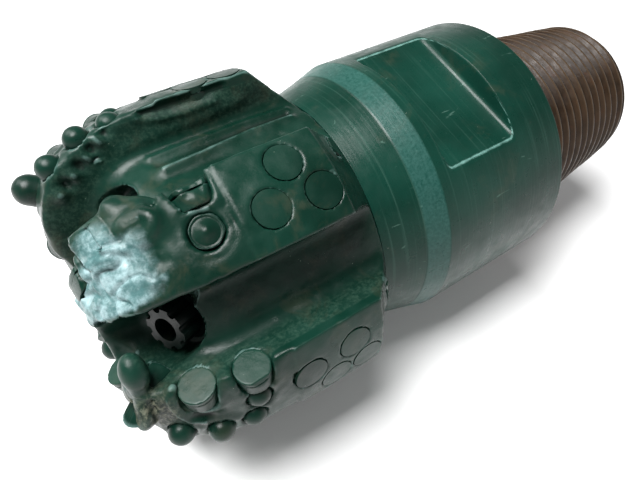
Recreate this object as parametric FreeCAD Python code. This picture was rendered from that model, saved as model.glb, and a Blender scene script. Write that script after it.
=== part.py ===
import FreeCAD, Part
import math
import os

V = FreeCAD.Vector

# Six-blade PDC drill bit lying on its side, in millimetres.
# It is built along its own axis. z = 0 is the make-up shoulder, +z runs
# towards the cutting end, and the threaded pin has negative z.
# Angles turn about that axis, from the side that faces up as the bit lies.
# lay_down() at the end turns the axis level, with the pin towards +X.

# Pin connection; the thread is drawn as rings
pin_base_diameter = 105.3
pin_length = 88.8
pin_taper = 0.25
pin_end_bevel = 3.0
relief_length = 12.7
relief_depth = 5.0
thread_pitch = 6.35
thread_depth = 2.9
thread_root_width = 0.9
thread_flank_angle = 30.0
water_bore_diameter = 44.0

# Shank
shank_diameter = 130.5
shoulder_bevel = 3.1
shank_length = 75.0
band_length = 10.9
collar_diameter = 123.8
collar_length = 18.6

# Flats for the breaker plate
breaker_across_flats = 110.8
breaker_start = 28.8
breaker_length = 40.5
breaker_root_radius = 3.0
breaker_angle = -15.9

# Joint between shank and blank
spigot_diameter = 74.0
spigot_length = 24.0
weld_width = 8.0
weld_depth = 7.0

# Steel blank inside the crown
mandrel_wall = 6.0
mandrel_length = 39.0
lock_groove_count = 3
lock_groove_width = 4.0
lock_groove_depth = 3.0

# Crown
gauge_diameter = 152.4
gauge_length = 38.3
gauge_step = 1.0
blade_end_rise = 17.0
blade_width_angle = 27.1
blade_angles = (-31.9, 28.5, 89.0, 150.0, 212.0, 275.0)
shoulder_arc = 82.7
nose_arc = 29.6
nose_ring_inset = 36.7
cone_angle = 15.0
slot_floor_diameter = 114.0
slot_floor_arc = 22.0
slot_floor_rise = 12.2
slot_root_radius = 7.0
slot_tip_radius = 9.0
slot_run_out = 5.0
plenum_diameter = 48.0
plenum_length = 12.0

# Cutters; a row's places are distances along the blade top from the gauge end
cutter_diameter = 13.44
cutter_length = 8.0
table_thickness = 2.0
back_rake = 20.0
cutter_set_back = 2.0
cutter_inset = 3.0
pocket_run_out = 8.0
outer_row_places = (9.5, 27.5, 45.0, 62.5)
inner_row_places = (15.0, 35.0, 75.0)
row_shifts = (0.0, 5.0, -2.0, 2.5, 1.5, 0.0)

# Domed inserts: place along the blade top, degrees behind its leading edge, and
# sizes: diameter, length in the hole, height of the rim above the blade, dome height.
# The small ones share all sizes but the rim, which keeps the outer two inside the gauge.
ring_insert_place = 11.0
ring_insert_lag = 15.0
ring_insert_sizes = (11.8, 9.0, -1.5, 3.2)
ring_recess_diameter = 20.0
ring_recess_depth = 1.5
small_insert_places = (15.5, 18.5, 31.0, 45.0)
small_insert_lags = (12.6, 21.6, 21.8, 21.0)
small_insert_rims = (-2.4, -1.7, 1.0, 1.0)
small_insert_sizes = (10.0, 9.0, 4.6)
nose_stud_place = 56.0
nose_stud_lag = 5.5
nose_stud_sizes = (12.5, 12.0, 3.5, 6.0)

# Gauge inserts: distance from the pad's pin end, degrees behind the leading edge
gauge_insert_depth = 9.0
three_insert_heights = (15.5, 27.0, 7.1)
three_insert_lags = (7.0, 16.8, 18.0)
four_insert_heights = (33.4, 13.5, 22.1, 7.1)
four_insert_lags = (13.0, 10.9, 21.5, 21.0)

# Inserts on the pin end of the blades
updrill_diameter = 8.0
updrill_length = 8.0
updrill_proud = 1.5
updrill_lag = 6.0

# Nozzles, one in each junk slot. The mouth is placed from the gauge's outer end,
# and the foot lies in the middle of the plenum, in from its side.
port_foot_inset = 3.6
port_mouth_inset = 26.6
port_mouth_rise = 36.5
port_diameter = 25.0
nozzle_face_depth = 4.0
nozzle_head_diameter = 17.0
nozzle_head_length = 10.0
nozzle_body_diameter = 20.0
nozzle_body_length = 12.0
nozzle_bore = 9.5
nozzle_inlet = 13.0
flute_count = 8
flute_diameter = 3.2
seal_section = 2.6

# Clearances
braze_gap = 0.15
cast_gap = 0.15
thread_gap = 0.15
nozzle_gap = 0.15

# Sizes that follow from those above
water_bore_radius = water_bore_diameter / 2
shank_radius = shank_diameter / 2
collar_radius = collar_diameter / 2
collar_start = shank_length + band_length
crown_start = collar_start + collar_length
weld_centre = collar_start + weld_width / 2
spigot_end = weld_centre + spigot_length
mandrel_radius = spigot_diameter / 2 + mandrel_wall
mandrel_end = crown_start + mandrel_length
gauge_radius = gauge_diameter / 2
gauge_start = crown_start + blade_end_rise
gauge_end = gauge_start + gauge_length
crest_radius = gauge_radius - gauge_step
nose_ring_radius = gauge_radius - nose_ring_inset
slot_floor_radius = slot_floor_diameter / 2
slot_floor_turn = gauge_end + slot_floor_rise
slot_end = crown_start - slot_run_out
port_mouth_radius = gauge_radius - port_mouth_inset
port_mouth_height = gauge_end + port_mouth_rise
port_foot_radius = plenum_diameter / 2 - port_foot_inset
port_foot_height = mandrel_end + plenum_length / 2
port_tilt = math.degrees(math.atan2(port_mouth_radius - port_foot_radius,
                                    port_mouth_height - port_foot_height))
cutter_radius = cutter_diameter / 2
substrate_length = cutter_length - table_thickness
leading_offset = blade_width_angle / 2


def turned(points):
    """Solid of revolution about the bit's axis from (radius, z) corners."""
    corners = [V(r, 0, z) for r, z in points]
    outline = Part.makePolygon(corners + corners[:1])
    return Part.Face(outline).revolve(V(0, 0, 0), V(0, 0, 1), 360)


def about_axis(shape, angle):
    """A copy of the shape turned about the bit's axis."""
    copy = shape.copy()
    copy.rotate(V(0, 0, 0), V(0, 0, 1), angle)
    return copy


def direction(angle, rise):
    """Unit vector at an angle round the axis, rising towards the cutting end."""
    flat = math.cos(math.radians(rise))
    turn = math.radians(angle)
    return V(flat * math.cos(turn), flat * math.sin(turn), math.sin(math.radians(rise)))


def place(radius, angle, z):
    """Point at a radius and an angle round the axis."""
    turn = math.radians(angle)
    return V(radius * math.cos(turn), radius * math.sin(turn), z)


def bore_tool():
    """Water course through pin, shank and blank."""
    reach = pin_length + mandrel_end
    return Part.makeCylinder(water_bore_radius, reach, V(0, 0, -pin_length))


def pin_radius(z):
    """Crest radius of the tapered pin at z, which is zero or less."""
    return pin_base_diameter / 2 + z * pin_taper / 2


def breaker_tool(angle):
    """Flat pocket across the shank with rounded roots at both end walls."""
    flat = breaker_across_flats / 2
    height = shank_radius
    start = V(flat, -shank_radius, breaker_start)
    block = Part.makeBox(height, shank_diameter, breaker_length, start)
    roots = [e for e in block.Edges
             if abs(e.CenterOfMass.x - flat) < 0.01 and abs(e.CenterOfMass.y) < 0.01]
    return about_axis(block.makeFillet(breaker_root_radius, roots), angle)


def thread_outline():
    """Corners of the thread's rings, from the pin's end to the relief groove."""
    half = thread_root_width / 2
    reach = half + thread_depth * math.tan(math.radians(thread_flank_angle))
    threaded = pin_length - pin_end_bevel - relief_length
    count = int(threaded / thread_pitch)
    points = []
    for i in range(count):
        middle = -relief_length - thread_pitch * (count - i - 0.5)
        root = pin_radius(middle) - thread_depth
        points += [(pin_radius(middle - reach), middle - reach), (root, middle - half),
                   (root, middle + half), (pin_radius(middle + reach), middle + reach)]
    return points


def collar_radius_at(z):
    """Radius of the collar, which tapers from the band to the junk slots' floor."""
    share = (z - collar_start) / collar_length
    return collar_radius + (slot_floor_radius - collar_radius) * share


def shank():
    """Steel shank: pin, make-up shoulder, breaker flats, band and spigot."""
    relief_radius = pin_radius(0) - relief_depth
    run_in = pin_radius(-relief_length) - relief_radius
    body = turned([
        (0, -pin_length),
        (pin_radius(-pin_length) - pin_end_bevel, -pin_length),
        (pin_radius(-pin_length + pin_end_bevel), -pin_length + pin_end_bevel),
    ] + thread_outline() + [
        (pin_radius(-relief_length), -relief_length),
        (relief_radius, -relief_length + run_in),
        (relief_radius, 0),
        (shank_radius - shoulder_bevel, 0),
        (shank_radius, shoulder_bevel),
        (shank_radius, shank_length),
        (collar_radius, collar_start),
        (collar_radius - weld_depth, weld_centre),
        (spigot_diameter / 2, weld_centre),
        (spigot_diameter / 2, spigot_end),
        (0, spigot_end),
    ])
    for side in (0, 180):
        body = body.cut(breaker_tool(breaker_angle + side))
    return body.cut(bore_tool())


def weld_ring():
    """Weld that fills the groove between shank and blank, flush with the collar."""
    weld_end = collar_start + weld_width
    return turned([
        (collar_radius, collar_start),
        (collar_radius_at(weld_end), weld_end),
        (collar_radius - weld_depth, weld_centre),
    ])


def mandrel_outline(grow):
    """Corners of the mandrel's grooved side, larger by grow on every face."""
    pitch = mandrel_length / (lock_groove_count + 1)
    outer = mandrel_radius + grow
    root = outer - lock_groove_depth
    half = lock_groove_width / 2 - grow
    points = [(outer, crown_start)]
    for i in range(lock_groove_count):
        middle = crown_start + pitch * (i + 1)
        points += [(outer, middle - half), (root, middle - half),
                   (root, middle + half), (outer, middle + half)]
    return points + [(outer, mandrel_end + grow)]


def blank():
    """Steel blank: the turned collar and the grooved mandrel cast into the crown."""
    socket_radius = spigot_diameter / 2 + thread_gap
    weld_end = collar_start + weld_width
    body = turned([
        (0, weld_centre),
        (collar_radius - weld_depth, weld_centre),
        (collar_radius_at(weld_end), weld_end),
        (slot_floor_radius, crown_start),
    ] + mandrel_outline(0) + [(0, mandrel_end)])
    socket_depth = spigot_end + thread_gap - weld_centre
    socket = Part.makeCylinder(socket_radius, socket_depth, V(0, 0, weld_centre))
    return body.cut(socket).cut(bore_tool())


def arc_edge(centre, radius, start, end):
    """Arc in the meridian plane from start to end degrees, 0 along the radius."""
    def at(angle):
        turn = math.radians(angle)
        return V(centre[0] + radius * math.cos(turn), 0, centre[1] + radius * math.sin(turn))
    return Part.Arc(at(start), at((start + end) / 2), at(end)).toShape()


def crest_arcs():
    """Centres of the shoulder and nose arcs, and the angle where they join."""
    shoulder_centre = (crest_radius - shoulder_arc, gauge_end)
    spread = shoulder_arc - nose_arc
    join = math.degrees(math.acos((nose_ring_radius - shoulder_centre[0]) / spread))
    rise = spread * math.sin(math.radians(join))
    return shoulder_centre, (nose_ring_radius, gauge_end + rise), join


def crest_point(distance):
    """Radius, z and outward angle of the blade top, from the gauge end inwards."""
    shoulder_centre, nose_centre, join = crest_arcs()
    first = shoulder_arc * math.radians(join)
    second = nose_arc * math.radians(90 + cone_angle - join)
    if distance < first:
        centre, radius = shoulder_centre, shoulder_arc
        angle = math.degrees(distance / shoulder_arc)
    else:
        centre, radius = nose_centre, nose_arc
        angle = join + math.degrees(min(distance - first, second) / nose_arc)
    turn = math.radians(angle)
    past = max(0.0, distance - first - second)
    r = centre[0] + radius * math.cos(turn) - past * math.sin(turn)
    z = centre[1] + radius * math.sin(turn) + past * math.cos(turn)
    return r, z, angle


def crown_envelope():
    """The crown's outer form before the junk slots are cut."""
    shoulder_centre, nose_centre, join = crest_arcs()
    end = 90 + cone_angle
    corners = [(gauge_radius, gauge_start), (slot_floor_radius, crown_start),
               (0, crown_start)]
    shoulder = arc_edge(shoulder_centre, shoulder_arc, 0, join)
    nose = arc_edge(nose_centre, nose_arc, join, end)
    inner = nose.Vertexes[1].Point
    tip = V(0, 0, inner.z - inner.x * math.tan(math.radians(cone_angle)))
    outline = [V(gauge_radius, 0, gauge_end)] + [V(r, 0, z) for r, z in corners] + [tip, inner]
    straight = Part.makePolygon(outline).Edges
    step = Part.makeLine(V(crest_radius, 0, gauge_end), V(gauge_radius, 0, gauge_end))
    wire = Part.Wire(Part.__sortEdges__(straight + [nose, shoulder, step]))
    return Part.Face(wire).revolve(V(0, 0, 0), V(0, 0, 1), 360)


def slot_core():
    """The solid that the floors of the junk slots lie on."""
    top_radius = slot_floor_radius - slot_floor_arc
    top = slot_floor_turn + slot_floor_arc
    bend = arc_edge((top_radius, slot_floor_turn), slot_floor_arc, 0, 90)
    outline = [V(slot_floor_radius, 0, slot_floor_turn), V(slot_floor_radius, 0, 0),
               V(0, 0, 0), V(0, 0, top), V(top_radius, 0, top)]
    edges = Part.makePolygon(outline).Edges + [bend]
    wire = Part.Wire(Part.__sortEdges__(edges))
    return Part.Face(wire).revolve(V(0, 0, 0), V(0, 0, 1), 360)


def slot_tool(half_angle):
    """One junk slot: radial flanks, a rounded inner end and rounded roots."""
    turn = math.radians(half_angle)
    centre = slot_tip_radius / math.sin(turn)
    touch = centre * math.cos(turn) ** 2
    reach = gauge_diameter
    side = math.tan(turn)
    tip = Part.Arc(V(touch, touch * side, 0), V(centre - slot_tip_radius, 0, 0),
                   V(touch, -touch * side, 0)).toShape()
    lines = Part.makePolygon([V(touch, -touch * side, 0), V(reach, -reach * side, 0),
                              V(reach, reach * side, 0), V(touch, touch * side, 0)])
    face = Part.Face(Part.Wire(Part.__sortEdges__(lines.Edges + [tip])))
    face.translate(V(0, 0, slot_end))
    wedge = face.extrude(V(0, 0, gauge_diameter)).cut(slot_core())
    limit = slot_floor_radius + 0.01
    top = slot_floor_turn + slot_floor_arc + 0.01
    roots = []
    for edge in wedge.Edges:
        middle = edge.valueAt((edge.FirstParameter + edge.LastParameter) / 2)
        radius = math.hypot(middle.x, middle.y)
        low_end = abs(middle.z - slot_end) < 0.01
        centred = abs(middle.y) < 0.01 and radius > centre
        if radius < limit and middle.z < top and not low_end and not centred:
            roots.append(edge)
    return wedge.makeFillet(slot_root_radius, roots)


def junk_slots():
    """Centre angle and half width of the slot that follows each blade."""
    slots = []
    following = blade_angles[1:] + (blade_angles[0] + 360,)
    for angle, after in zip(blade_angles, following):
        half = (after - angle - blade_width_angle) / 2
        slots.append(((angle + after) / 2, half))
    return slots


def port_point(angle, depth):
    """Point on a port's axis, at a depth below its mouth."""
    turn = math.radians(port_tilt)
    radius = port_mouth_radius - depth * math.sin(turn)
    return place(radius, angle, port_mouth_height - depth * math.cos(turn))


def port_cylinder(angle, diameter, top, bottom):
    """Cylinder on a port's axis between two depths below its mouth."""
    away = direction(angle, 90 - port_tilt)
    return Part.makeCylinder(diameter / 2, bottom - top, port_point(angle, bottom), away)


def port_tool(angle):
    """Port, nozzle seat, seal groove and passage down to the plenum."""
    seat_top = nozzle_face_depth + nozzle_head_length
    seat_bottom = seat_top + nozzle_body_length
    seal_middle = (seat_top + seat_bottom) / 2
    above = -port_diameter
    mouth = port_cylinder(angle, port_diameter, above, seat_top)
    seat = port_cylinder(angle, nozzle_body_diameter + 2 * nozzle_gap, seat_top, seat_bottom)
    groove = port_cylinder(angle, nozzle_body_diameter + 2 * seal_section + 2 * nozzle_gap,
                           seal_middle - seal_section / 2 - nozzle_gap,
                           seal_middle + seal_section / 2 + nozzle_gap)
    rise = math.cos(math.radians(port_tilt))
    passage_end = (port_mouth_height - port_foot_height) / rise
    passage = port_cylinder(angle, nozzle_inlet, seat_bottom, passage_end)
    return mouth.fuse([seat, groove, passage])


def nozzle(angle):
    """Nozzle with a fluted head for its wrench and a tapered orifice."""
    seat_top = nozzle_face_depth + nozzle_head_length
    seat_bottom = seat_top + nozzle_body_length
    head = port_cylinder(angle, nozzle_head_diameter, nozzle_face_depth, seat_top)
    body = port_cylinder(angle, nozzle_body_diameter, seat_top, seat_bottom)
    solid = head.fuse(body).removeSplitter()
    away = direction(angle, 90 - port_tilt)
    start = port_point(angle, seat_bottom)
    inlet = Part.makeCone(nozzle_inlet / 2, nozzle_bore / 2, nozzle_body_length, start, away)
    outlet = port_cylinder(angle, nozzle_bore, nozzle_face_depth, seat_top)
    solid = solid.cut(inlet).cut(outlet)
    across = direction(angle + 90, 0)
    flutes = []
    for i in range(flute_count):
        foot = port_point(angle, seat_top) + across * (nozzle_head_diameter / 2)
        flute = Part.makeCylinder(flute_diameter / 2, nozzle_head_length, foot, away)
        flute.rotate(port_point(angle, 0), away, i * 360 / flute_count)
        flutes.append(flute)
    return solid.cut(flutes)


def nozzle_seal(angle):
    """Seal ring round the nozzle's body, in the groove of its seat."""
    seat_top = nozzle_face_depth + nozzle_head_length
    middle = seat_top + nozzle_body_length / 2
    inner = nozzle_body_diameter + 2 * nozzle_gap
    outer = nozzle_body_diameter + 2 * seal_section
    ring = port_cylinder(angle, outer, middle - seal_section / 2, middle + seal_section / 2)
    hole = port_cylinder(angle, inner, middle - seal_section, middle + seal_section)
    return ring.cut(hole)


def is_outer_row(index):
    """Every second blade carries the row that starts nearer the gauge."""
    return index % 2 == 0


def cutter_frame(index, distance):
    """Centre of a cutter's face on a blade, and the way the face looks."""
    radius, z, rise = crest_point(distance)
    leading = blade_angles[index] + leading_offset
    angle = leading - math.degrees(cutter_set_back / radius)
    outward = direction(angle, rise)
    forward = direction(angle + 90, 0)
    rake = math.radians(back_rake)
    looks = forward * math.cos(rake) + outward * math.sin(rake)
    return place(radius, angle, z) - outward * cutter_inset, looks


def ground_to_gauge(solids):
    """The solids with whatever stands outside the gauge ground away."""
    barrel = Part.makeCylinder(gauge_radius, gauge_diameter, V(0, 0, crown_start))
    return Part.makeCompound([solid.common(barrel) for solid in solids])


def cutter_places(index):
    """Places of the cutters along the top of a blade, staggered between blades."""
    row = outer_row_places if is_outer_row(index) else inner_row_places
    return [distance + row_shifts[index] for distance in row]


def cutter_tables(index):
    """Diamond tables of one blade's cutters."""
    tables = []
    for distance in cutter_places(index):
        centre, looks = cutter_frame(index, distance)
        tables.append(Part.makeCylinder(cutter_radius, table_thickness,
                                        centre - looks * table_thickness, looks))
    return ground_to_gauge(tables)


def cutter_substrates(index):
    """Carbide bodies behind the diamond tables of one blade's cutters."""
    bodies = []
    for distance in cutter_places(index):
        centre, looks = cutter_frame(index, distance)
        bodies.append(Part.makeCylinder(cutter_radius, substrate_length,
                                        centre - looks * cutter_length, looks))
    return ground_to_gauge(bodies)


def pocket_tools(index):
    """Cutter pockets of one blade, open towards the junk slot."""
    tools = []
    for distance in cutter_places(index):
        centre, looks = cutter_frame(index, distance)
        depth = cutter_length + braze_gap
        tools.append(Part.makeCylinder(cutter_radius + braze_gap, depth + pocket_run_out,
                                       centre - looks * depth, looks))
    return tools


def insert_specs(index):
    """Place, lag and sizes of the domed inserts and studs of one blade."""
    if is_outer_row(index):
        return [(ring_insert_place, ring_insert_lag, ring_insert_sizes)]
    diameter, buried, dome = small_insert_sizes
    small = [(distance, lag, (diameter, buried, rim, dome)) for distance, lag, rim
             in zip(small_insert_places, small_insert_lags, small_insert_rims)]
    return small + [(nose_stud_place, nose_stud_lag, nose_stud_sizes)]


def insert_frame(index, distance, lag):
    """Foot point on the blade top and outward direction of a domed insert."""
    radius, z, rise = crest_point(distance)
    angle = blade_angles[index] + leading_offset - lag
    return place(radius, angle, z), direction(angle, rise)


def domed_insert(index, spec):
    """Round insert with a domed head, standing along the blade's outward normal."""
    distance, lag, (diameter, buried, rim, dome) = spec
    foot, outward = insert_frame(index, distance, lag)
    radius = diameter / 2
    ball_radius = (radius ** 2 + dome ** 2) / (2 * dome)
    shoulder = buried + rim
    outline = Part.Wire([
        Part.makeLine(V(0, 0, 0), V(radius, 0, 0)),
        Part.makeLine(V(radius, 0, 0), V(radius, 0, shoulder)),
        arc_edge((0, shoulder + dome - ball_radius), ball_radius,
                 math.degrees(math.acos(radius / ball_radius)), 90),
        Part.makeLine(V(0, 0, shoulder + dome), V(0, 0, 0)),
    ])
    solid = Part.Face(outline).revolve(V(0, 0, 0), V(0, 0, 1), 360)
    turn = FreeCAD.Rotation(V(0, 0, 1), outward)
    solid.Placement = FreeCAD.Placement(foot - outward * buried, turn)
    return solid


def domed_inserts(index):
    """All domed inserts of one blade."""
    return Part.makeCompound([domed_insert(index, spec) for spec in insert_specs(index)])


def insert_hole_tools(index):
    """Holes for the domed inserts, and the dished recess round the ring insert."""
    tools = []
    for distance, lag, (diameter, buried, rim, dome) in insert_specs(index):
        foot, outward = insert_frame(index, distance, lag)
        radius = diameter / 2 + braze_gap
        depth = buried + braze_gap
        tools.append(Part.makeCylinder(radius, depth + diameter, foot - outward * depth, outward))
        if is_outer_row(index):
            start = foot - outward * ring_recess_depth
            tools.append(Part.makeCylinder(ring_recess_diameter / 2, diameter, start, outward))
    return tools


def gauge_insert_places(index):
    """Height and lag of the flush inserts on the gauge pad of a blade."""
    if is_outer_row(index):
        return zip(three_insert_heights, three_insert_lags)
    return zip(four_insert_heights, four_insert_lags)


def gauge_insert_shafts(index, radius, depth, reach):
    """Radial cylinders at the places of one pad's gauge inserts."""
    shafts = []
    for height, lag in gauge_insert_places(index):
        angle = blade_angles[index] + leading_offset - lag
        start = place(gauge_radius - depth, angle, gauge_start + height)
        shafts.append(Part.makeCylinder(radius, depth + reach, start, direction(angle, 0)))
    return shafts


def gauge_inserts(index):
    """Flush round inserts of one gauge pad, ground to the gauge."""
    return ground_to_gauge(
        gauge_insert_shafts(index, cutter_radius, gauge_insert_depth, gauge_step))


def gauge_hole_tools(index):
    """Holes for the gauge inserts."""
    depth = gauge_insert_depth + braze_gap
    return gauge_insert_shafts(index, cutter_radius + braze_gap, depth, gauge_step)


def updrill_frame(index):
    """Foot point and outward direction of the insert on a blade's pin end."""
    run = gauge_radius - slot_floor_radius
    rise = gauge_start - crown_start
    radius = (gauge_radius + slot_floor_radius) / 2
    angle = blade_angles[index] + leading_offset - updrill_lag
    lean = -math.degrees(math.atan2(run, rise))
    return place(radius, angle, (gauge_start + crown_start) / 2), direction(angle, lean)


def updrill_insert(index):
    """Short round insert that stands proud of the blade's pin end."""
    foot, outward = updrill_frame(index)
    buried = updrill_length - updrill_proud
    return Part.makeCylinder(updrill_diameter / 2, updrill_length, foot - outward * buried, outward)


def updrill_hole_tool(index):
    """Hole for the insert on a blade's pin end."""
    foot, outward = updrill_frame(index)
    depth = updrill_length - updrill_proud + braze_gap
    radius = updrill_diameter / 2 + braze_gap
    return Part.makeCylinder(radius, depth + updrill_length, foot - outward * depth, outward)


def crown_cavity():
    """Room for the mandrel and the plenum that feeds the ports."""
    mandrel = turned(mandrel_outline(cast_gap) + [(0, mandrel_end + cast_gap), (0, crown_start)])
    plenum_radius = plenum_diameter / 2
    plenum_end = mandrel_end + plenum_length
    plenum = turned([(0, mandrel_end), (plenum_radius, mandrel_end),
                     (plenum_radius, plenum_end), (0, plenum_end + plenum_radius / 2)])
    return mandrel.fuse(plenum)


def crown():
    """Cast crown: blades, junk slots, ports, cutter pockets and insert holes."""
    body = crown_envelope()
    for angle, half in junk_slots():
        body = body.cut(about_axis(slot_tool(half), angle))
    body = body.cut(crown_cavity())
    for angle, half in junk_slots():
        body = body.cut(port_tool(angle))
    for index in range(len(blade_angles)):
        tools = pocket_tools(index) + insert_hole_tools(index) + gauge_hole_tools(index)
        body = body.cut(tools + [updrill_hole_tool(index)])
    return body


def lay_down(shape):
    """Turn the bit's axis level, cutting end towards -X."""
    copy = shape.copy()
    copy.rotate(V(0, 0, 0), V(0, 1, 0), -90)
    return copy


def nodes():
    """Every sub-part by name."""
    found = {
        "shank": shank(),
        "weld_ring": weld_ring(),
        "blank": blank(),
        "crown": crown(),
        "updrill_inserts": Part.makeCompound(
            [updrill_insert(i) for i in range(len(blade_angles))]),
    }
    for index, slot in enumerate(junk_slots()):
        number = str(index + 1)
        found["cutter_tables_" + number] = cutter_tables(index)
        found["cutter_substrates_" + number] = cutter_substrates(index)
        found["gauge_inserts_" + number] = gauge_inserts(index)
        found["domed_inserts_" + number] = domed_inserts(index)
        found["nozzle_" + number] = nozzle(slot[0])
        found["nozzle_seal_" + number] = nozzle_seal(slot[0])
    return found


os.makedirs("parts", exist_ok=True)
for name, shape in nodes().items():
    lay_down(shape).exportStep("parts/" + name + ".step")
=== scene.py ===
import bmesh
import bpy
import math
import numpy as np
from mathutils import Matrix, Vector
from mathutils.bvhtree import BVHTree


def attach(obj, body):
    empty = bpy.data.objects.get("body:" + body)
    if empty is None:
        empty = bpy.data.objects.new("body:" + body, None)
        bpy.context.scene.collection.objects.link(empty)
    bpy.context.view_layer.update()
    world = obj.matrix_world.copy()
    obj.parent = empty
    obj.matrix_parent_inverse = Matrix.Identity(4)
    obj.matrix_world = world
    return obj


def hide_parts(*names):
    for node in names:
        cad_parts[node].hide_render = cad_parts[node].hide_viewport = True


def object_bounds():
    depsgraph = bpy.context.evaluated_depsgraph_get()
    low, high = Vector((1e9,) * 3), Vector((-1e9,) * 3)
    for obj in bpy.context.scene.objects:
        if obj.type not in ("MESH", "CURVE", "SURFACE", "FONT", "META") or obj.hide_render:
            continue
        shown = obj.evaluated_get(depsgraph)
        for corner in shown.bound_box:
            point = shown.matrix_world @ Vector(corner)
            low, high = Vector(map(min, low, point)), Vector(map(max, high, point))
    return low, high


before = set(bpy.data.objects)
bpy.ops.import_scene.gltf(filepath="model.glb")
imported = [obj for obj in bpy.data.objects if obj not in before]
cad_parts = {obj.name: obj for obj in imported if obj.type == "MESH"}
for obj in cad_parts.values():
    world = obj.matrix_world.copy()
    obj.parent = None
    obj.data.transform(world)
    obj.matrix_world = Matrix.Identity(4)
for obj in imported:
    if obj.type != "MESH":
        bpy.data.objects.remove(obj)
cad_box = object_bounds()
scene = bpy.context.scene
scene.view_settings.view_transform = "Standard"

# Sizes of the model in millimetres, as the solids have them
pin_base, pin_length, pin_taper = 105.3, 88.8, 0.25
relief_length, relief_depth = 12.7, 5.0
thread_pitch, thread_depth = 6.35, 2.9
bore_radius = 22.0
shank_radius, shoulder_bevel, shank_length = 65.25, 3.1, 75.0
band_length, collar_radius = 10.9, 61.9
breaker_flat, breaker_start, breaker_length = 55.4, 28.8, 40.5
breaker_root, breaker_angle = 3.0, -15.9
weld_width = 8.0
spigot_radius = 37.0
spigot_end = 113.9
gauge_radius, gauge_end, crest_step = 76.2, 159.8, 1.0
shoulder_arc, nose_arc, nose_ring = 82.7, 29.6, 39.5
blade_angles = (-31.9, 28.5, 89.0, 150.0, 212.0, 275.0)
camera_place = (-0.2048, -0.1534, 0.1792)
camera_right = Vector((0.8244, -0.5660, 0.0))
camera_up = Vector((0.4156, 0.6054, 0.6788))
camera_look = Vector((0.3842, 0.5596, -0.7343))
camera_lens = 29.107

# Worn crest, inserts and paint, in millimetres and degrees
front_blade, lower_blade = 1, 6
ringed_blades, four_insert_blades = blade_angles[0::2], blade_angles[1::2]
gauge_rows = (143.6, 128.6)
flank_angle = 15.0
ring_spot, ring_lag, ring_tilt = (170.8, 74.5), 1.45, 7.62
paint_reach = 4.6
paint_specular = 0.20
world_light = 0.22


# Mesh helpers
def add_object(name, data):
    made = bpy.data.objects.new(name, data)
    scene.collection.objects.link(made)
    return made


def write_attribute(mesh, name, values):
    """Stores a number at each point of a mesh, for its material to read."""
    made = mesh.attributes.new(name, "FLOAT", "POINT")
    made.data.foreach_set("value", np.asarray(values, dtype=np.float32).ravel())


def smooth_step(low, high, x):
    t = np.clip((x - low) / (high - low), 0.0, 1.0)
    return t * t * (3 - 2 * t)


def soft_min(a, b, width):
    """The smaller of two fields, with the crease between them rounded."""
    h = np.clip(0.5 + 0.5 * (b - a) / width, 0.0, 1.0)
    return b * (1 - h) + a * h - width * h * (1 - h)


def round_mesh(name, z, radii, angles):
    """Mesh round the bit's axis: one ring of radii, in mm, at each z."""
    rows, columns = radii.shape
    c, s = np.cos(angles), np.sin(angles)
    points = np.empty((rows, columns, 3))
    points[:, :, 0] = -z[:, None]
    points[:, :, 1] = radii * s
    points[:, :, 2] = radii * c
    i = np.arange(rows - 1)[:, None] * columns
    j = np.arange(columns)[None, :]
    k = (j + 1) % columns
    faces = np.stack([i + j, i + k, i + columns + k, i + columns + j], axis=-1).reshape(-1, 4)
    mesh = bpy.data.meshes.new(name)
    mesh.from_pydata((points.reshape(-1, 3) * 0.001).tolist(), [], faces.tolist())
    mesh.update()
    mesh.shade_smooth()
    return add_object(name, mesh)


def stations(corners, step):
    """Dense (z, radius) pairs along a chain of (z, radius) corners."""
    z, r = [corners[0][0]], [corners[0][1]]
    for (z0, r0), (z1, r1) in zip(corners, corners[1:]):
        count = max(1, int(math.ceil(math.hypot(z1 - z0, r1 - r0) / step)))
        for n in range(1, count + 1):
            z.append(z0 + (z1 - z0) * n / count)
            r.append(r0 + (r1 - r0) * n / count)
    return np.array(z), np.array(r)


def rounded(corners, radius):
    """The chain with each inner corner cut by a small three-point round."""
    out = [corners[0]]
    for before, here, after in zip(corners, corners[1:], corners[2:]):
        a, b, c = (np.array(p, float) for p in (before, here, after))
        la, lc = np.linalg.norm(a - b), np.linalg.norm(c - b)
        cut = min(radius, la * 0.45, lc * 0.45)
        p, q = b + (a - b) / la * cut, b + (c - b) / lc * cut
        middle = (p + q + 2 * b) / 4
        out += [tuple(p), tuple(middle), tuple(q)]
    return out + [corners[-1]]


def spot(z, radius, angle):
    """Point in mm at a height along the bit, a radius and degrees round it."""
    turn = math.radians(angle)
    return np.array([-z, radius * math.sin(turn), radius * math.cos(turn)])


def random_field(points, size, seed):
    """Smooth random values from -1 to 1, with lumps of about the given size."""
    table = np.random.RandomState(seed).uniform(-1, 1, (32, 32, 32))
    cell = np.floor(points / size).astype(int)
    part = points / size - cell
    part = part * part * (3 - 2 * part)
    total = np.zeros(len(points))
    for corner in np.ndindex(2, 2, 2):
        share = np.ones(len(points))
        for axis in range(3):
            share = share * (part[:, axis] if corner[axis] else 1 - part[:, axis])
        i, j, k = ((cell + corner) % 32).T
        total += share * table[i, j, k]
    return total


def crest_height(z, radius):
    """How far places stand above the tops of the blades."""
    join = math.acos((nose_ring - gauge_radius + crest_step + shoulder_arc)
                     / (shoulder_arc - nose_arc))
    nose_start = gauge_end + (shoulder_arc - nose_arc) * math.sin(join)
    outer = np.hypot(z - gauge_end, radius - gauge_radius + crest_step + shoulder_arc)
    outer = outer - shoulder_arc
    inner = np.hypot(z - nose_start, radius - nose_ring) - nose_arc
    return np.where(np.arctan2(z - nose_start, radius - nose_ring) > join, inner, outer)


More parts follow.
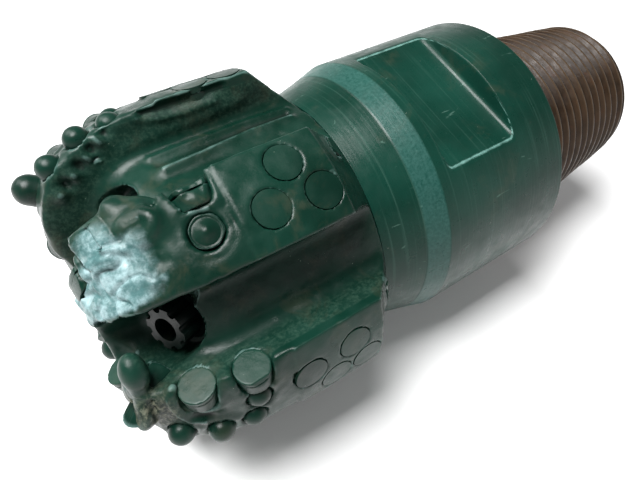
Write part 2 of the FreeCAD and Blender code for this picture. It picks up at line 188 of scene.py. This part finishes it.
class Clay:
    """A dense skin that can be worked like clay, in millimetres."""

    def __init__(self, piece):
        self.mesh = piece.data
        count = len(self.mesh.vertices)
        flat = np.empty(count * 3)
        self.mesh.vertices.foreach_get("co", flat)
        self.co = flat.reshape(-1, 3) * 1000
        ends = np.empty(len(self.mesh.edges) * 2, dtype=np.int64)
        self.mesh.edges.foreach_get("vertices", ends)
        self.a, self.b = ends.reshape(-1, 2).T
        self.degree = np.maximum(np.bincount(self.a, minlength=count)
                                 + np.bincount(self.b, minlength=count), 1)
        self.settle()

    def settle(self):
        """Writes the points back and measures their normals and places again."""
        self.mesh.vertices.foreach_set("co", (self.co * 0.001).ravel())
        self.mesh.update()
        flat = np.empty(len(self.co) * 3)
        self.mesh.vertex_normals.foreach_get("vector", flat)
        self.normal = flat.reshape(-1, 3)
        self.z = -self.co[:, 0]
        self.radius = np.hypot(self.co[:, 1], self.co[:, 2])
        self.angle = np.degrees(np.arctan2(self.co[:, 1], self.co[:, 2]))
        east, up = self.co[:, 1] / self.radius, self.co[:, 2] / self.radius
        self.lean = self.normal[:, 1] * east + self.normal[:, 2] * up
        self.side = self.normal[:, 1] * up - self.normal[:, 2] * east

    def averaged(self, values, passes):
        for _ in range(passes):
            total = np.stack([np.bincount(self.a, column[self.b], len(self.co))
                              + np.bincount(self.b, column[self.a], len(self.co))
                              for column in values.T], axis=1)
            values = total / self.degree[:, None]
        return values

    def relax(self, amount, passes):
        """Smooths the skin where amount, from 0 to 1, is not zero."""
        for _ in range(passes):
            self.co += (self.averaged(self.co, 1) - self.co) * amount[:, None]

    def distance(self, path):
        """Distance of every point from a chain of spots."""
        spots = [spot(*place) for place in path]
        best = np.full(len(self.co), 1e6)
        for start, end in zip(spots, spots[1:] or spots):
            run = end - start
            share = np.clip((self.co - start) @ run / max(run @ run, 1e-6), 0, 1)
            best = np.minimum(best, np.linalg.norm(self.co - start - share[:, None] * run, axis=1))
        return best

    def ridge(self, path, width, height, where=1.0):
        """Raises a soft ridge along a chain of spots, or a furrow if height is negative."""
        lift = height * np.exp(-(self.distance(path) / width) ** 2) * where
        self.co += self.normal * lift[:, None]

    def scoop(self, centre, size):
        """Sinks whatever lies inside a ball down to the ball's surface."""
        away = self.co - spot(*centre)
        along = np.einsum("ij,ij->i", away, self.normal)
        room = size ** 2 - (away ** 2).sum(axis=1)
        sink = np.where(room > 0, along + np.sqrt(np.maximum(along ** 2 + room, 0)), 0)
        self.co -= self.normal * np.clip(sink, 0, size)[:, None]

    def write_standout(self, reach, scale):
        """Stores how far each point stands out from its neighbours. The paint uses this for
        painted shade in the hollows and for lighter edges.
        """
        out = np.einsum("ij,ij->i", self.co - self.averaged(self.co, reach), self.normal)
        write_attribute(self.mesh, "wear", np.clip(out * scale, -1, 1))


# Shading helpers
def add_node(tree, kind, inputs, settings):
    """Node whose inputs are numbers, colours or the sockets of other nodes."""
    made = tree.nodes.new("ShaderNode" + kind)
    for key, value in settings.items():
        setattr(made, key, value)
    for key, value in inputs.items():
        if isinstance(value, bpy.types.NodeSocket):
            tree.links.new(value, made.inputs[key])
        else:
            made.inputs[key].default_value = value
    return made


class Shader:
    """A material under construction, with short calls for its nodes."""

    def __init__(self, name):
        self.material = bpy.data.materials.new(name)
        self.material.use_nodes = True
        self.tree = self.material.node_tree
        self.surface = self.tree.nodes["Principled BSDF"]
        self.where = self.node("TexCoord", {}).outputs["Object"]

    def node(self, kind, inputs, **settings):
        return add_node(self.tree, kind, inputs, settings)

    def noise(self, scale, detail=4.0, rough=0.55, where=None, distort=0.0):
        made = self.node("TexNoise", {"Vector": where or self.where, "Scale": scale,
                                      "Detail": detail, "Roughness": rough,
                                      "Distortion": distort})
        return made.outputs["Fac"]

    def cells(self, scale):
        made = self.node("TexVoronoi", {"Vector": self.where, "Scale": scale})
        return made.outputs["Distance"]

    def stretch(self, factors):
        made = self.node("Mapping", {"Vector": self.where, "Scale": factors})
        return made.outputs["Vector"]

    def part(self, axis):
        return self.node("SeparateXYZ", {"Vector": self.where}).outputs[axis]

    def math(self, kind, a, b=0.0):
        return self.node("Math", {0: a, 1: b}, operation=kind).outputs[0]

    def ramp(self, value, low, high, out_low=0.0, out_high=1.0):
        made = self.node("MapRange", {"Value": value, "From Min": low, "From Max": high,
                                      "To Min": out_low, "To Max": out_high},
                         interpolation_type="SMOOTHSTEP")
        return made.outputs["Result"]

    def attribute(self, name):
        return self.node("Attribute", {}, attribute_name=name).outputs["Fac"]

    def blend(self, factor, a, b):
        made = self.node("Mix", {0: factor, 6: a, 7: b}, data_type="RGBA")
        return made.outputs[2]

    def bump(self, height, distance, strength=1.0, normal=None):
        inputs = {"Height": height, "Distance": distance, "Strength": strength}
        if normal is not None:
            inputs["Normal"] = normal
        return self.node("Bump", inputs).outputs["Normal"]

    def link(self, value, key):
        self.tree.links.new(value, self.surface.inputs[key])

    def finish(self, colour, roughness, normal, specular=0.5):
        """Links the surface and sets its even specular level on the shader itself."""
        self.link(colour, "Base Color")
        self.link(roughness, "Roughness")
        self.link(normal, "Normal")
        self.surface.inputs["Specular IOR Level"].default_value = specular
        return self.material


def rgb(r, g, b):
    """Linear colour from the 0 to 255 values of a screen colour."""
    def linear(v):
        v = v / 255
        return v / 12.92 if v <= 0.04045 else ((v + 0.055) / 1.055) ** 2.4
    return (linear(r), linear(g), linear(b), 1.0)

def paint(name, dark, light, grain, dirt, rub):
    """Thick aged enamel: mottled colour, dust, painted shade in the hollows, and edges made
    lighter, partly as worn paint and partly as a painted highlight.
    """
    m = Shader(name)
    broad = m.noise(30, 3)
    colour = m.blend(m.ramp(broad, 0.3, 0.7), dark, light)
    stain = m.ramp(m.noise(75, 6, 0.65, distort=0.6), 0.50, 0.70)
    colour = m.blend(m.math("MULTIPLY", stain, dirt), colour, rgb(66, 66, 52))
    speck = m.ramp(m.cells(620), 0.10, 0.03)
    rare = m.ramp(m.noise(90, 2), 0.60, 0.68)
    colour = m.blend(m.math("MULTIPLY", speck, rare), colour, rgb(150, 165, 150))
    # The wear attribute is below zero in hollows and above zero on edges. Painted shade: the
    # hollows are darkened here.
    edge = m.attribute("wear")
    colour = m.blend(m.ramp(edge, -0.15, -0.7, 0.0, 0.7), colour, rgb(14, 24, 20))
    # Edges are made lighter, partly as worn paint and partly as a painted highlight along them.
    uneven = m.math("MULTIPLY", m.noise(170, 5, 0.7), 0.5)
    worn_and_highlit = m.ramp(m.math("ADD", edge, uneven), 0.78, 1.25, 0.0, rub)
    colour = m.blend(worn_and_highlit, colour, rgb(118, 150, 144))
    rough = m.ramp(m.noise(120, 4, 0.6), 0.3, 0.75, 0.26, 0.46)
    peel = m.bump(m.noise(260, 2, 0.4), 0.0003, 0.35)
    fine = m.bump(m.noise(900, 5, 0.7), 0.00012 * grain, 0.6, peel)
    return m, colour, rough, fine


def insert_finish(name, dark, light, rub):
    m, colour, rough, normal = paint(name, dark, light, 0.6, 0.25, rub)
    return m.finish(colour, rough, normal, paint_specular)


def crown_finish():
    """Paint over the rough casting, with a chipped pale crest and a hardfaced patch."""
    m, colour, rough, normal = paint("crown_paint", rgb(5, 33, 24), rgb(13, 47, 37),
                                     1.0, 0.3, 0.34)
    grain = m.attribute("grain")
    sand = m.ramp(m.noise(620, 5, 0.75), 0.42, 0.66)
    colour = m.blend(m.math("MULTIPLY", m.math("MULTIPLY", sand, grain), 0.22), colour,
                     rgb(76, 104, 88))
    patch = m.attribute("patch")
    scale = m.ramp(m.noise(480, 6, 0.75, distort=0.5), 0.42, 0.66)
    rust = m.blend(scale, rgb(20, 25, 19), rgb(112, 112, 96))
    colour = m.blend(m.math("MULTIPLY", patch, 0.8), colour, rust)
    pale = m.attribute("pale")
    flake = m.math("ADD", pale, m.math("MULTIPLY", m.noise(130, 6, 0.7, distort=0.4), 0.7))
    bare = m.ramp(flake, 0.58, 1.20)
    chalk = m.blend(m.ramp(m.noise(200, 5, 0.65), 0.35, 0.7), rgb(68, 103, 103),
                    rgb(152, 177, 180))
    colour = m.blend(bare, colour, chalk)
    height = m.math("ADD", m.math("MULTIPLY", m.noise(700, 5, 0.7), grain),
                    m.math("MULTIPLY", m.noise(330, 5, 0.7), patch))
    normal = m.bump(height, 0.0003, 0.5, normal)
    normal = m.bump(m.math("MULTIPLY", bare, m.noise(260, 5, 0.7)), 0.0008, 0.5, normal)
    return m.finish(colour, m.math("ADD", rough, m.math("MULTIPLY", grain, 0.12)), normal,
                    paint_specular)


def shank_finish():
    """Shank enamel with fine turning marks, handling scars, worn edges and a painted highlight on
    the sloping ring before the collar.
    """
    m = Shader("shank_paint")
    along = m.part("X")
    band_start, band_end = shank_length * 0.001, (shank_length + band_length) * 0.001
    broad = m.noise(24, 3)
    colour = m.blend(m.ramp(broad, 0.3, 0.7), rgb(5, 39, 30), rgb(13, 53, 43))
    turning = m.noise(1.0, 3, 0.6, m.stretch((900, 12, 12)))
    colour = m.blend(m.ramp(turning, 0.55, 0.72, 0.0, 0.16), colour, rgb(78, 112, 100))
    stain = m.ramp(m.noise(60, 6, 0.65, distort=0.5), 0.54, 0.72)
    colour = m.blend(m.math("MULTIPLY", stain, 0.25), colour, rgb(62, 64, 50))
    scars = m.ramp(m.noise(1.0, 2, 0.5, m.stretch((60, 420, 420)), 1.2), 0.70, 0.74)
    colour = m.blend(m.math("MULTIPLY", scars, 0.3), colour, rgb(96, 128, 116))
    speck = m.ramp(m.cells(420), 0.07, 0.02)
    rare = m.ramp(m.noise(70, 2), 0.60, 0.66)
    colour = m.blend(m.math("MULTIPLY", speck, rare), colour, rgb(190, 196, 184))
    # Painted highlight: the sloping ring between shank and collar is made lighter where the light
    # falls on it, with a sandy grain.
    inner = m.ramp(along, -band_end, -band_end + 0.0012)
    outer = m.ramp(along, -band_start + 0.0004, -band_start - 0.0008)
    painted_highlight_band = m.math("MULTIPLY", inner, outer)
    sand = m.ramp(m.noise(800, 5, 0.7), 0.3, 0.7)
    colour = m.blend(m.math("MULTIPLY", painted_highlight_band, 0.42), colour,
                     m.blend(sand, rgb(34, 78, 72), rgb(66, 108, 102)))
    edge = m.attribute("wear")
    rub = m.math("ADD", edge, m.math("MULTIPLY", m.noise(190, 5, 0.7), 0.4))
    colour = m.blend(m.ramp(rub, 0.75, 1.1), colour, rgb(104, 144, 136))
    rough = m.ramp(m.noise(150, 4, 0.6), 0.3, 0.75, 0.26, 0.42)
    marks = m.bump(turning, 0.00022, 0.28)
    peel = m.bump(m.noise(300, 2, 0.4), 0.0002, 0.3, marks)
    return m.finish(colour, rough, peel, paint_specular)


def pin_steel():
    """Oiled brown steel of the thread, dark in the roots."""
    m = Shader("pin_steel")
    depth = m.attribute("wear")
    colour = m.blend(m.ramp(m.noise(45, 5, 0.65), 0.3, 0.7), rgb(31, 21, 12), rgb(51, 37, 24))
    rust = m.ramp(m.noise(130, 6, 0.7, distort=0.8), 0.5, 0.72)
    colour = m.blend(m.math("MULTIPLY", rust, 0.6), colour, rgb(60, 36, 20))
    colour = m.blend(m.ramp(depth, 0.55, 0.05), colour, rgb(20, 14, 9))
    colour = m.blend(m.ramp(depth, 0.85, 1.0, 0.0, 0.6), colour, rgb(74, 59, 43))
    rough = m.ramp(m.noise(200, 4, 0.6), 0.3, 0.75, 0.30, 0.55)
    scuffs = m.bump(m.noise(1.0, 4, 0.7, m.stretch((700, 90, 90))), 0.0004, 0.4)
    return m.finish(colour, rough, m.bump(m.noise(500, 4, 0.6), 0.0002, 0.4, scuffs),
                    paint_specular)


def seal_rubber():
    """Black nitrile ring with a faint bloom."""
    m = Shader("seal_rubber")
    colour = m.blend(m.ramp(m.noise(200, 4), 0.4, 0.7), rgb(18, 18, 18), rgb(40, 40, 38))
    return m.finish(colour, m.ramp(m.noise(300, 3), 0.3, 0.7, 0.55, 0.75),
                    m.bump(m.noise(900, 3), 0.0001, 0.3))


crown_paint = crown_finish()
shank_enamel = shank_finish()
# The last number of each paint sets how much lighter its edges are made, as worn paint and painted
# highlight. The cutter tables get the most, for bright rims.
insert_paint = insert_finish("insert_paint", rgb(5, 31, 23), rgb(13, 46, 36), 0.5)
table_paint = insert_finish("table_paint", rgb(11, 41, 32), rgb(20, 54, 43), 0.9)
# Painted shade: nozzles deep in their ports get near-black paint.
cavity_paint = insert_finish("cavity_paint", rgb(2, 12, 9), rgb(5, 20, 16), 0.1)
rubber = seal_rubber()

# Camera
camera = add_object("camera", bpy.data.cameras.new("camera"))
axes = Matrix((camera_right, camera_up, -camera_look)).transposed().to_4x4()
camera.matrix_world = Matrix.Translation(camera_place) @ axes
camera.data.lens = camera_lens
camera.data.sensor_width = 36
camera.data.clip_start = 0.01
scene.camera = camera

# Shank without its pin
angles = np.arange(640) * 2 * math.pi / 640
weld_centre = shank_length + band_length + weld_width / 2
corners = rounded([
    (0.0, pin_base / 2 - relief_depth), (0.0, shank_radius - shoulder_bevel),
    (shoulder_bevel, shank_radius), (shank_length, shank_radius),
    (shank_length + band_length, collar_radius), (weld_centre, collar_radius - 7.0),
    (weld_centre, spigot_radius)], 0.8)
z, r = stations(corners, 0.7)
# More rings where the pockets of the breaker flats begin and end
near_end = np.linspace(-0.6, 0.6, 9)
extra = np.concatenate([breaker_start + near_end, breaker_start + breaker_length + near_end])
wall = np.nonzero((z > shoulder_bevel) & (z < shank_length))[0]
first, last = wall[0], wall[-1] + 1
z_all = np.concatenate([z[:first], np.sort(np.concatenate([z[first:last], extra])), z[last:]])
r_all = np.concatenate([r[:first], np.full(len(wall) + len(extra), shank_radius), r[last:]])
radii = np.repeat(r_all[:, None], len(angles), axis=1)
full = radii.copy()
into = np.minimum(z_all - breaker_start, breaker_start + breaker_length - z_all)
root = np.clip(breaker_root - into, 0.0, breaker_root)
lift = breaker_root - np.sqrt(np.maximum(breaker_root ** 2 - root ** 2, 0.0))
inside = smooth_step(-0.45, 0.15, into)
for side in (0, 180):
    away = np.cos(angles - math.radians(breaker_angle + side))
    flat = np.where(away > 0.2, (breaker_flat + lift[:, None]) / np.maximum(away, 0.2), 1000.0)
    cut = soft_min(radii, flat, 1.2)
    radii = radii + (cut - radii) * inside[:, None]
shank_body = round_mesh("shank_body", z_all, radii, angles)
edge = np.exp(-((full - radii - 0.5) / 0.5) ** 2) * (full - radii > 0.02)
bevel = (np.exp(-((z_all - shank_length) / 1.2) ** 2)
         + np.exp(-((z_all - shoulder_bevel) / 1.0) ** 2))
edge = np.clip(edge * 0.8 + bevel[:, None] * 0.55, 0, 1)
write_attribute(shank_body.data, "wear", edge)
shank_body.data.materials.append(shank_enamel)

# Threaded pin with its relief groove and the water bore
angles = np.arange(288) * 2 * math.pi / 288
end_radius = pin_base / 2 - pin_length * pin_taper / 2
corners = [(0.0, pin_base / 2 - relief_depth), (-relief_length + 3.5, pin_base / 2 - relief_depth),
           (-relief_length, pin_base / 2 - relief_length * pin_taper / 2),
           (-pin_length + 3, end_radius + 3 * pin_taper / 2), (-pin_length, end_radius - 3),
           (-pin_length, bore_radius + 1.5), (-pin_length + 1.5, bore_radius),
           (0.0, bore_radius), (spigot_end, bore_radius)]
z, r = stations(rounded(corners[:5], 0.8) + corners[5:], 0.5)
outer = np.arange(len(z)) < np.argmax(z <= -pin_length + 0.001)
phase = (z[:, None] / thread_pitch + angles[None, :] / (2 * math.pi)) % 1.0
tooth = np.clip(np.abs(phase - 0.5) * 2 * 1.35 - 0.12, 0.0, 1.0)
amount = smooth_step(-relief_length + 1.0, -relief_length - 4.0, z)
amount = amount * smooth_step(-pin_length - 1.0, -pin_length + 5.0, z) * outer
ripple = 0.12 * np.sin(angles * 3 + 1) * np.sin(z[:, None] * 0.21)
radii = r[:, None] - (thread_depth * (1 - tooth) + ripple) * amount[:, None]
threaded_pin = round_mesh("threaded_pin", z, radii, angles)
level = np.where(amount[:, None] > 0.3, tooth, 0.6)
write_attribute(threaded_pin.data, "wear", level)
threaded_pin.data.materials.append(pin_steel())
for piece in (shank_body, threaded_pin):
    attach(piece, "root")
    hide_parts("shank")


def painted_copy(name, nodes, voxel, passes, lumps=()):
    """Skin over nodes and lumps, with its edges softened as thick paint leaves them."""
    form = bmesh.new()
    for node in nodes:
        form.from_mesh(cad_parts[node].data)
    for place, sizes, turn, blocky in lumps:
        x, y, z = spot(*place) * 0.001
        lie = Matrix.Rotation(-math.radians(place[2]), 4, "X") @ Matrix.Rotation(
            math.radians(turn), 4, "Y")
        scale = Matrix.Diagonal((*(v * 0.001 for v in sizes), 1))
        matrix = Matrix.Translation((x, y, z)) @ lie @ scale
        if blocky:
            bmesh.ops.create_cube(form, size=2, matrix=matrix)
        else:
            bmesh.ops.create_icosphere(form, subdivisions=3, radius=1, matrix=matrix)
    mesh = bpy.data.meshes.new(name + "_rough")
    form.to_mesh(mesh)
    form.free()
    rough = add_object(name + "_rough", mesh)
    remesh = rough.modifiers.new("remesh", "REMESH")
    remesh.mode = "VOXEL"
    remesh.voxel_size = voxel
    smooth = rough.modifiers.new("smooth", "SMOOTH")
    smooth.factor = 0.5
    smooth.iterations = passes
    bpy.context.view_layer.update()
    evaluated = rough.evaluated_get(bpy.context.evaluated_depsgraph_get())
    mesh = bpy.data.meshes.new_from_object(evaluated)
    bpy.data.objects.remove(rough)
    mesh.name = name
    mesh.materials.clear()
    mesh.shade_smooth()
    return add_object(name, mesh)


# Crown skin, with worn lumps on the front and the lower blade. Each lump has its place,
# its half sizes along the bit, round it and outward, its turn, and whether it is blocky.
worn_lumps = [
    ((186.0, 65.0, -17.5), (9.0, 5.0, 6.0), 20, False),
    ((190.5, 66.0, -14.5), (6.0, 4.5, 4.0), 35, False),
    ((197.5, 61.0, -17.5), (7.0, 5.0, 6.0), 45, False),
    ((186.5, 69.0, -23.6), (7.5, 5.5, 5.6), 35, False),
    ((201.6, 64.0, -21.5), (3.9, 6.6, 5.6), 38, True),
    ((208.0, 56.0, -63.5), (5.0, 7.6, 5.6), 0, False),
    ((208.5, 54.0, -80.0), (8.5, 9.0, 4.0), 65, False),
]
# Thin walls behind the gauge inserts, which lie close under the following flank
gauge_walls = (7.5, 0.9, 5.5)
for angle in four_insert_blades:
    for z in gauge_rows:
        worn_lumps.append(((z, 67.5, angle - 12.9), gauge_walls, 0, True))
voxel = 0.0008
crown_skin = painted_copy("crown_skin", ["crown"], voxel, 3, worn_lumps)
clay = Clay(crown_skin)

# Paint that has run together round the cutters and inserts, where they stand out
inserts = bmesh.new()
for name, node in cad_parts.items():
    if name.startswith(("cutter_substrates", "domed_", "updrill")):
        inserts.from_mesh(node.data)
tree = BVHTree.FromBMesh(inserts)
inserts.free()
gap = np.full(len(clay.co), 9.0)
for i in np.nonzero((clay.radius > 30) & (clay.z > 104))[0]:
    found = tree.find_nearest(Vector(clay.co[i] * 0.001), paint_reach * 0.001)
    if found[0] is not None:
        gap[i] = found[3] * 1000
outward = np.stack([-np.clip(clay.z - 150, 0, None) * 0.8, clay.co[:, 1], clay.co[:, 2]], axis=1)
outward /= np.linalg.norm(outward, axis=1)[:, None]
facing = smooth_step(0.1, 0.6, np.einsum("ij,ij->i", clay.normal, outward))
clay.relax(0.8 * np.clip(1.3 - gap / 5, 0, 1) * (clay.z > 162), 6)
lift = (1.9 + 1.1 * smooth_step(178, 186, clay.z)) * np.clip(1 - gap / 4.5, 0, 1) ** 2 * facing
clay.co += clay.normal * lift[:, None]
clay.settle()
high = crest_height(clay.z, clay.radius)
on_crest = smooth_step(161.5, 164, clay.z) * smooth_step(-9, -5, high)
clay.relax(0.8 * on_crest, 7)
clay.settle()

# Worn crest of the front blade: a block, broken faces, soft ridges and scooped edges
on_blade = smooth_step(-48, -45, clay.angle) * smooth_step(-10, -14, clay.angle)
worn = on_blade * smooth_step(182, 188, clay.z) * (clay.radius > 30)
near = on_blade * smooth_step(161, 164, clay.z) * (clay.radius > 50)
block = np.exp(-(clay.distance([(201.8, 65.0, -21.5)]) / 7.0) ** 4)
clay.relax(np.clip(near * smooth_step(-27, -22, clay.angle) + worn, 0, 1) * 0.8
           * (1 - 0.85 * block), 9)
high = crest_height(clay.z, clay.radius)
excess = np.clip(high - 2.0, 0, None) * 0.7 * worn
clay.co += clay.normal * -(excess * np.clip(clay.lean + 0.4, 0, 1))[:, None]
clay.co += clay.normal * (1.1 * random_field(clay.co, 6.5, 31) * worn
                          * smooth_step(-27, -22, clay.angle))[:, None]
clay.settle()
clay.ridge([(193.0, 66.0, -18.5), (195.5, 66.5, -23.0), (194.3, 67.6, -28.0)], 1.7, 1.8)
clay.ridge([(176.5, 73.6, -22.0), (174.0, 74.0, -27.0), (167.0, 75.0, -28.5)], 1.0, 0.5)
clay.ridge([(184.0, 71.3, -20.0), (182.5, 71.8, -26.5), (187.0, 70.5, -29.0)], 1.4, 0.8)
clay.settle()
clay.scoop((197.5, 53.0, -46.0), 10.5)
clay.scoop((188.0, 56.5, -46.5), 9.0)
clay.scoop((204.0, 48.5, -45.5), 8.5)
clay.settle()
chips = random_field(clay.co, 5.0, 3) + 0.6 * random_field(clay.co, 2.4, 5)
broken = worn * smooth_step(-20, -29, clay.angle) * smooth_step(-45, -41.5, clay.angle)
fade = smooth_step(180, 203, clay.z + 3.0 * random_field(clay.co, 6.0, 41))
crack = fade * np.exp(-(np.abs(random_field(clay.co + 40, 7.0, 8)) / 0.10) ** 2)
clay.co += clay.normal * (broken * (0.55 * chips - 1.5 * crack))[:, None]

# Thicker walls behind the gauge inserts, then the ridges of the cast slot next to the
# front blade, and the shelf and the notched edge of the flank beyond that slot
clay.settle()
floor_only = smooth_step(0.3, 0.7, clay.lean)
flank_only = smooth_step(-0.3, -0.8, clay.side)
for angle in four_insert_blades:
    clay.ridge([(z, 68.5, angle - 13.5) for z in gauge_rows], 9.0, 0.6, flank_only)
clay.ridge([(112, 57, 3.2), (131, 57, 3.4), (153, 57, 1.7), (168, 57, 0.9)], 2.0, 1.5, floor_only)
clay.ridge([(110, 57.2, 10.2), (131, 57.5, 11.1), (158, 57.4, 10.9), (170, 57.3, 10.5)],
           1.8, 1.3, floor_only)
clay.ridge([(112, 57, 6.8), (131, 57, 7.3), (156, 57, 6.3), (169, 57, 5.7)],
           2.0, -0.9, floor_only)
clay.ridge([(122, 57, -4.5), (140, 57, -4.4), (158, 57, -3.6), (172, 57, -4.0)],
           3.2, -1.0, floor_only)
for width, height, *path in (
        (2.6, -1.7, (134, 73.0), (148, 72.4), (160, 72.8), (166, 73.0)),
        (1.8, 1.0, (168, 71.8), (160, 69.4), (150, 68.6), (138, 69.2)),
        (3.0, 0.8, (128, 66), (150, 64), (176, 63)),
        (2.4, -1.8, (181.5, 71.0)), (2.4, -1.8, (187.5, 66.8)),
        (2.4, -1.8, (193.2, 62.6)), (2.4, -1.8, (200.0, 57.5)),
        (2.4, 1.5, (184.5, 68.6)), (2.4, 1.5, (190.5, 64.4)),
        (2.4, 1.5, (197.0, 60.0)), (2.4, 1.5, (203.5, 54.8))):
    clay.ridge([(*place, flank_angle) for place in path], width, height, flank_only)

# Rim round the second cutter and the rough patch on the nose of the lower blade
clay.ridge([(199.5, 62.0, -72.0), (202.5, 63.0, -74.6), (201.3, 63.9, -80.7),
            (199.0, 65.3, -85.7), (194.6, 67.5, -87.0)], 1.3, 1.3)
clay.ridge([(198.0, 65.6, -77.0), (198.0, 66.0, -81.0), (195.8, 67.0, -84.0),
            (192.5, 68.3, -84.5)], 1.9, -1.5)
patch = np.exp(-(clay.distance([(210.5, 54.0, -84.0), (207.0, 59.0, -80.0)]) / 8.5) ** 4)
clay.co += clay.normal * (patch * 0.24 * (random_field(clay.co, 1.7, 11)
                                          + random_field(clay.co, 3.1, 12)))[:, None]
clay.settle()
clay.co += clay.normal * (0.16 * random_field(clay.co, 6.0, 21)
                          + 0.07 * random_field(clay.co, 2.6, 22))[:, None]
clay.settle()
clay.write_standout(6, 1.6)
pale = broken * fade + 0.7 * block * worn + 0.3 * worn * smooth_step(0.3, 0.8, chips)
in_slot = np.clip(1 - facing, 0, 1) * (clay.radius < 72)
write_attribute(crown_skin.data, "pale", np.clip(pale, 0, 1))
write_attribute(crown_skin.data, "grain", np.clip(in_slot + patch * 1.5, 0, 1))
write_attribute(crown_skin.data, "patch", np.clip(patch * 1.2, 0, 1))
crown_skin.data.materials.append(crown_paint)
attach(crown_skin, "root")
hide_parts("crown")

# Cutters and domed inserts under the same paint, worn down on the front blade. The row of
# every second blade begins with a button that has a flat ring round it.
for number in range(1, 7):
    wear = number == front_blade
    for kind, size, passes, finish, slot in (
            ("cutter_tables", 0.00035, 2, table_paint, "diamond_table"),
            ("cutter_substrates", 0.0005, 3, insert_paint, "carbide"),
            ("domed_inserts", 0.0005, 3, insert_paint, "carbide")):
        node = f"{kind}_{number}"
        piece = painted_copy(node + "_skin", [node], size, passes + 8 * wear)
        form = Clay(piece)
        flaws = 0.02 if kind == "cutter_tables" else 0.08
        if wear:
            flaws = 0.5
        form.co += form.normal * (flaws * random_field(form.co, 2.6, number))[:, None]
        if (number == lower_blade) if kind == "domed_inserts" else wear:
            form.settle()
            level = 0.1 if wear else np.where(form.angle > -80, 0.3, 20.0)
            excess = np.clip(crest_height(form.z, form.radius) - level, 0, None)
            excess = excess * (form.z > 176)
            inward = np.stack([form.z - 160, -form.co[:, 1], -form.co[:, 2]], axis=1)
            inward /= np.linalg.norm(inward, axis=1)[:, None]
            form.co += inward * excess[:, None]
        if kind == "domed_inserts" and blade_angles[number - 1] in ringed_blades:
            angle = blade_angles[number - 1] - ring_lag
            tilt = math.radians(ring_tilt)
            axis = spot(math.sin(tilt), math.cos(tilt), angle)
            reach = form.co - spot(*ring_spot, angle)
            height = reach @ axis
            across = np.linalg.norm(reach - height[:, None] * axis, axis=1)
            button = 2.5 * np.exp(-(across / 3.5) ** 2) + 0.5 * smooth_step(4.7, 5.2, across)
            lift = np.minimum(button - 1.2 - height, 1.0)
            form.co += axis * np.where(height > -2.2, lift, 0)[:, None]
        form.settle()
        form.write_standout(4, 3.0)
        piece.data.materials.append(finish if not wear else crown_paint)
        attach(piece, "root")
        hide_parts(node)

# Materials of the nodes that stay
finishes = {"blank": shank_enamel, "weld_ring": shank_enamel}
for name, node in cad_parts.items():
    if name.startswith("cutter_tables"):
        chosen = table_paint
    elif name.startswith(("cutter_sub", "gauge_ins", "domed_ins", "updrill")):
        chosen = insert_paint
    elif name.startswith("nozzle_seal"):
        chosen = rubber
    # Nozzles take the near-black paint of painted shade.
    elif name.startswith("nozzle"):
        chosen = cavity_paint
    else:
        chosen = finishes.get(name, crown_paint)
    node.data.materials.clear()
    node.data.materials.append(chosen)

# Floor, world and lamps
low = cad_box[0][2]
mesh = bpy.data.meshes.new("floor")
mesh.from_pydata([(-3, -3, low), (3, -3, low), (3, 3, low), (-3, 3, low)], [], [(0, 1, 2, 3)])
floor = add_object("floor", mesh)
m = Shader("floor")
cloud = m.ramp(m.noise(3, 3), 0.3, 0.7)
m.link(m.blend(cloud, (0.86, 0.86, 0.86, 1), (0.9, 0.9, 0.9, 1)), "Base Color")
m.surface.inputs["Roughness"].default_value = 0.9
m.surface.inputs["Specular IOR Level"].default_value = 0.0
seen = m.node("LightPath", {}).outputs
seen = m.math("MAXIMUM", m.math("MAXIMUM", seen["Is Camera Ray"], seen["Is Glossy Ray"]),
              seen["Is Transmission Ray"])
m.surface.inputs["Emission Color"].default_value = (1, 1, 1, 1)
away = m.math("SQRT", m.math("ADD", m.math("POWER", m.part("X"), 2.0),
                             m.math("POWER", m.part("Y"), 2.0)))
glow = m.ramp(away, 0.55, 1.5, 0.08, 1.0)
m.link(m.math("MULTIPLY", seen, glow), "Emission Strength")
floor.data.materials.append(m.material)

world = bpy.data.worlds.new("world")
scene.world = world
world.use_nodes = True
sky = world.node_tree


def sky_node(kind, inputs, **settings):
    return add_node(sky, kind, inputs, settings)


path = sky_node("LightPath", {}).outputs
rise = sky_node("SeparateXYZ", {0: sky_node("TexCoord", {}).outputs["Generated"]}).outputs["Z"]
mirrored = sky_node("MapRange", {"Value": rise, "From Min": 0.1, "From Max": 0.45,
                                 "To Min": 1.0, "To Max": 0.15}).outputs["Result"]
level = sky_node("Mix", {0: path["Is Glossy Ray"], 2: world_light, 3: mirrored}).outputs[0]
seen = sky_node("Math", {0: path["Is Camera Ray"], 1: path["Is Transmission Ray"]},
                operation="MAXIMUM").outputs[0]
level = sky_node("Mix", {0: seen, 2: level, 3: 1.0}).outputs[0]
ground = sky.nodes["Background"]
ground.inputs["Color"].default_value = (1, 1, 1, 1)
sky.links.new(level, ground.inputs["Strength"])


def lamp(name, place, aim, size, power):
    """Square soft box that looks at a point."""
    light = add_object(name, bpy.data.lights.new(name, "AREA"))
    light.data.size = size
    light.data.energy = power
    light.matrix_world = Matrix.Translation(place) @ (
        Vector(aim) - Vector(place)).to_track_quat("-Z", "Y").to_matrix().to_4x4()


lamp("key", (-0.40, 0.03, 0.98), (-0.08, 0, 0), 0.52, 23)
lamp("back", (-0.60, 0.55, 0.70), (-0.08, 0, 0), 0.50, 5)
